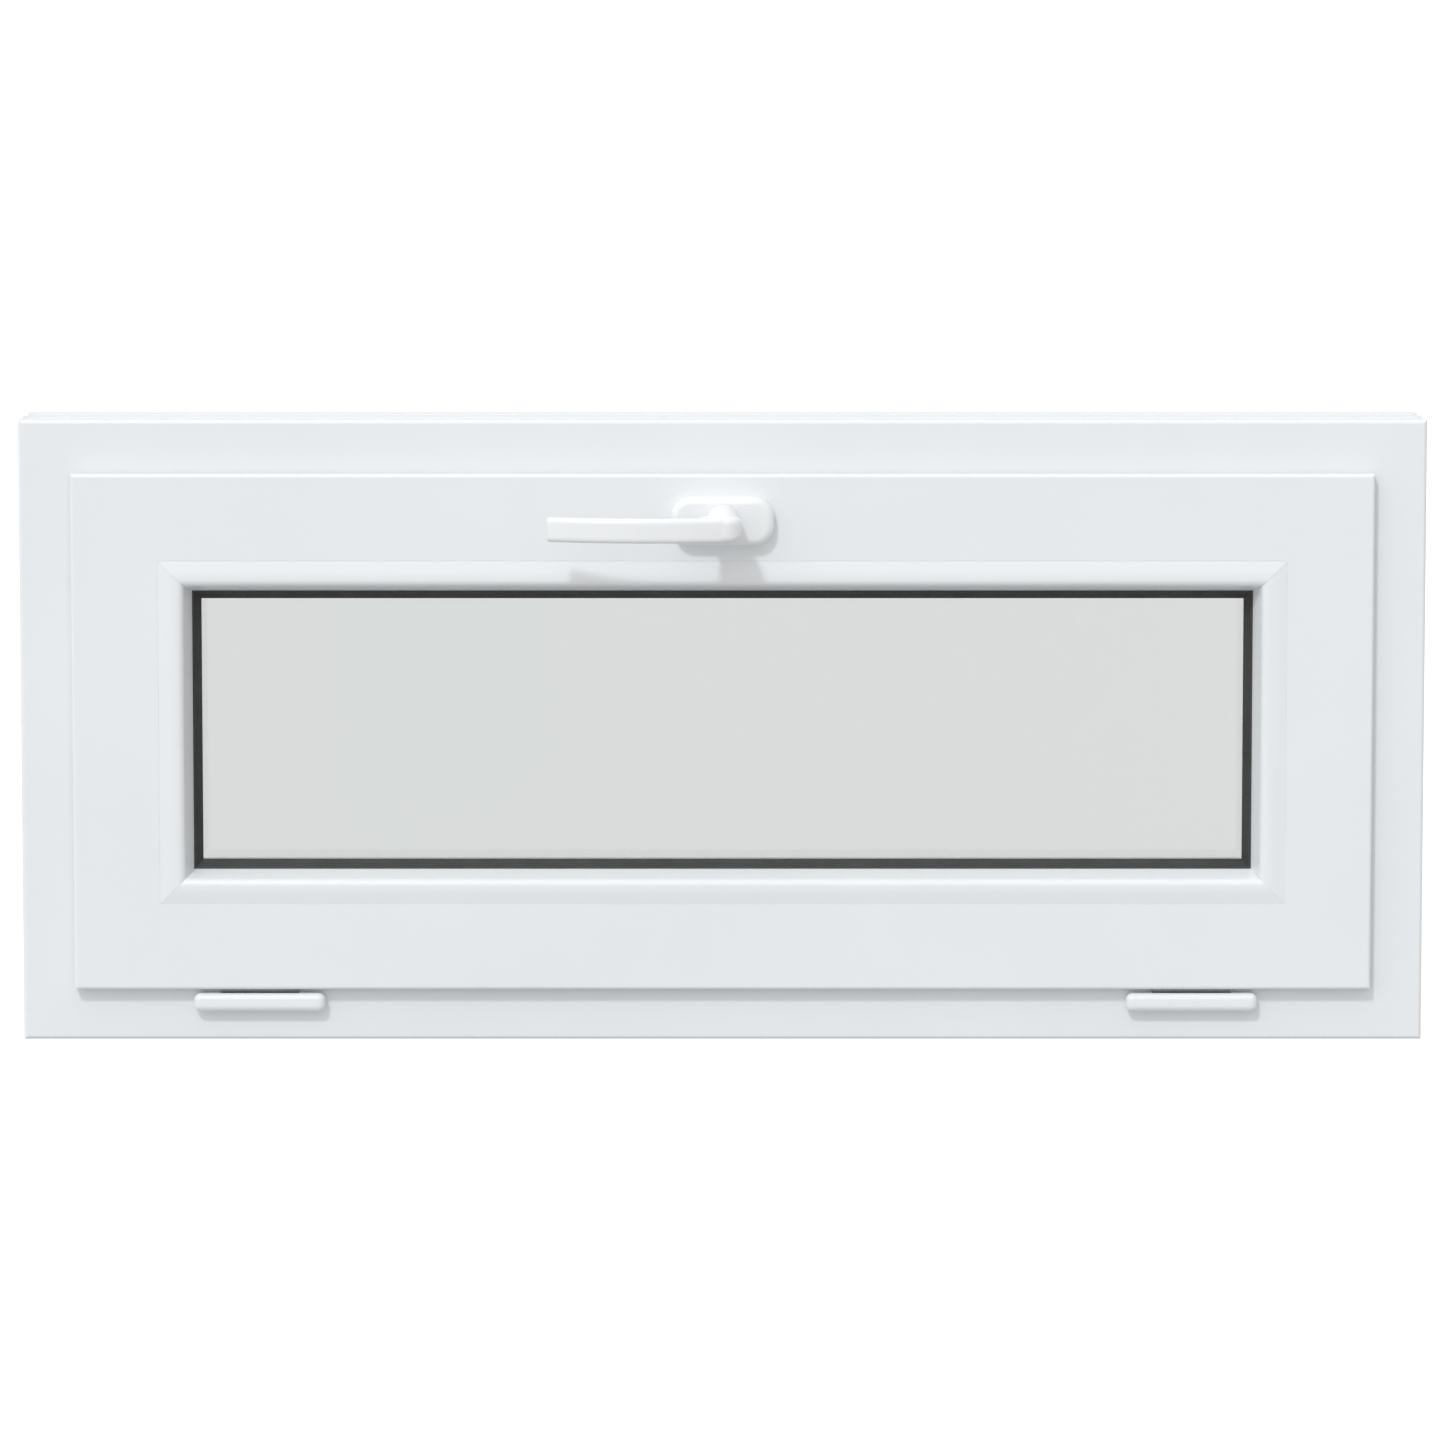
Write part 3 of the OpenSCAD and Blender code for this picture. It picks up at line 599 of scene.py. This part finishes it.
outer_lip = [(104, 36), (110, 36), (112, 36.5), (112, 39), (110.6, 40), (104, 40)]
seal = loose_object("outer_glazing_lip", joined(*[
    shell(side, outer_lip, [((112, 36.5), 0.4), ((112, 39), 0.8)]) for side in sides]))
fit_piece(seal, black_rubber, "sash", "seal", "glazing_seal_outer")

# ---- Glazing beads ----
# Four hollow PVC strips with a crowned face that slopes down to the glass. A foot on the back
# clips into the sash, and the ends are sawn to 45 degrees and just meet.
bead_outline = [
    (89.5, -10), (98, -11.3), (105, -11.3), (110, 6), (110, 9), (89.5, 9), (89.5, 5.8), (87.2, 5.8),
    (87.2, 3.2), (89.5, 3.2),
]
bead_rounds = [((98, -11.3), 2), ((105, -11.3), 3.4), ((110, 6), 0.6)]
bead_hollow = [(92, -9.3), (102, -9.3), (107, 5), (107, 7), (92, 7)]
mitre_gap = 0.04
for side in sides:
    hollow = shell(side, bead_hollow, inset=weld_t)
    bmesh.ops.reverse_faces(hollow, faces=hollow.faces[:])
    bead = loose_object("bead_strip_" + side, joined(
        shell(side, bead_outline, bead_rounds, inset=mitre_gap), hollow))
    fit_piece(bead, pvc_run[side], "sash", "pvc", "bead_" + side)

# ---- Inner glazing seal ----
# Dark grey rubber run on the bead, between it and the glass. Its face slopes to the glass and has
# two shallow ribs.
grey_rubber = rubber("dark_grey_rubber", (0.036, 0.0365, 0.038), (0.046, 0.0465, 0.049), 0.5)
inner_lip = [
    (104, 9), (110, 9), (110, 6), (111.2, 6), (112.2, 7.3), (112.3, 7.8), (112.9, 8.2), (113.8, 9.3),
    (113.9, 9.8), (114.5, 10.2), (115.5, 11.4), (115.5, 12), (104, 12),
]
seal = loose_object("inner_glazing_lip", joined(*[
    shell(side, inner_lip, [((111.2, 6), 0.5)]) for side in sides]))
fit_piece(seal, grey_rubber, "sash", "seal_grey", "glazing_seal_inner", crease=20)

# ---- Rosette ----
# A die-cast base held by two screws carries the handle. A domed cover snaps over it, with a round
# hole for the handle's neck, in the same white powder coat.
dress(bright_zinc, "rosette_base", "handle_screws")


def powder_coat(name):
    """White powder paint on metal, with its slight orange-peel."""
    made = new_finish(name, IOR=1.5, Specular_IOR_Level=0.5, Coat_Weight=0.15, Coat_Roughness=0.25)
    spread(made, grain(made, 30, detail=2), "Base Color", (0.83, 0.855, 0.875), (0.85, 0.872, 0.888))
    spread(made, grain(made, 400), "Roughness", 0.28, 0.36)
    relief(made, [grain(made, 700, detail=1)], (0.012,), 0.5)
    return made


white_coat = powder_coat("white_powder_coat")
rosette_w, rosette_h, rosette_corner, rosette_roll, rosette_wall = 66, 31, 13, 5, 1.5
sash_face_d, rosette_face_d = -10, -20
collar_r = 11.15
bm = rounded_plate(0, spindle_z, rosette_w, rosette_h, rosette_corner, sash_face_d, rosette_face_d,
                   rosette_roll)
bmesh.ops.delete(bm, geom=[f for f in bm.faces if f.normal.y > 0.9], context="FACES")
cover = loose_object("rosette_dome", bm)
give_wall(cover, rosette_wall)
cut_away(cover, rod(collar_r, at(0, -31, spindle_z), at(0, -9, spindle_z), 72))
fit_piece(cover, white_coat, "sash", "handle_white", "rosette_cover")

# ---- Handle ----
# One aluminium casting: a round neck, an elbow, and a flat grip that bows out from the sash and
# ends bluntly. It turns on a square steel spindle.
lever_l, lever_h, lever_t, lever_z = 111, 15.6, 9.5, 334.5
lever_low, lever_high = lever_z - lever_h / 2, lever_z + lever_h / 2
lever_d = -60
long_round, tip_round = 3, 1.6
bow_rise, bow_fall, stations = 0.22, 0.00255, 32
elbow_end, elbow_r, elbow_round, heel_r = 12.3, 12, 4, 8
neck_r, neck_d, neck_foot_d, neck_round = 11.2, -56, -19.2, 9.5
journal_r = 7

grip = block(-lever_l, 0, lever_d, lever_d + lever_t, lever_low, lever_high)
runs = [e for e in grip.edges if abs(e.verts[0].co.x - e.verts[1].co.x) > 50 * mm]
round_off(grip, runs, long_round, 5)
blunt = [e for e in grip.edges if all(v.co.x < (0.1 - lever_l) * mm for v in e.verts)]
round_off(grip, blunt, tip_round, 4)
for station in range(1, stations):
    score(grip, at(-lever_l * station / stations, 0, 0), (1, 0, 0))
for vertex in grip.verts:
    from_spindle = -vertex.co.x / mm
    vertex.co.y -= (bow_rise * from_spindle - bow_fall * from_spindle ** 2) * mm

elbow = block(-14, elbow_end, lever_d, -40, lever_low, lever_high)
turn = [e for e in elbow.edges if all(v.co.x > 0 and v.co.y < at(0, lever_d + 1, 0).y for v in e.verts)]
round_off(elbow, turn, elbow_r, 12)
level = [e for e in elbow.edges if abs(e.verts[0].co.z - e.verts[1].co.z) < 1e-6
         and not all(v.co.x < -13 * mm for v in e.verts)]
round_off(elbow, level, elbow_round, 5)
heel = at(elbow_end - heel_r, 0, lever_low + heel_r)
for lean in range(15, 90, 15):
    away = Vector((cos(radians(lean)), 0, -sin(radians(lean))))
    saw(elbow, heel + away * heel_r * mm, away)

neck = rod(neck_r, at(0, neck_d, spindle_z), at(0, neck_foot_d, spindle_z), 64)
front = [e for e in neck.edges if all(v.co.y < at(0, neck_d + 0.1, 0).y for v in e.verts)]
round_off(neck, front, neck_round, 10)
journal = rod(journal_r, at(0, -25, spindle_z), at(0, -10.5, spindle_z), 48)

lever = loose_object("handle_casting", joined(grip, elbow, neck, journal))
cast = lever.modifiers.new("cast", "REMESH")
cast.mode = "VOXEL"
cast.voxel_size = 0.5 * mm
fair = lever.modifiers.new("fair", "SMOOTH")
fair.factor = 0.5
fair.iterations = 24
bpy.context.view_layer.update()
settle(lever)
fit_piece(lever, white_coat, "handle", "handle_white", "handle_lever", crease=60)
dress(bright_zinc, "handle_spindle")

# ---- Locking gear ----
# The handle turns a small steel pinion inside a zinc case in the top rail. The pinion slides a flat
# drive rail behind the slotted faceplate, and the two cams riveted to the rail go with it.
dress(bright_zinc, "gear_faceplate", "gearbox_case", "gear_pinion", "drive_rail", "locking_cams")

# ---- Stays ----
# A flat steel arm on each side limits the tilt. It turns on a pivot riveted to the frame's jamb,
# and the pin at its other end runs in a slotted rail on the sash.
dress(bright_zinc, "stay_bracket_left", "stay_bracket_right", "stay_rail_left", "stay_rail_right",
      "stay_arm_left", "stay_arm_right")
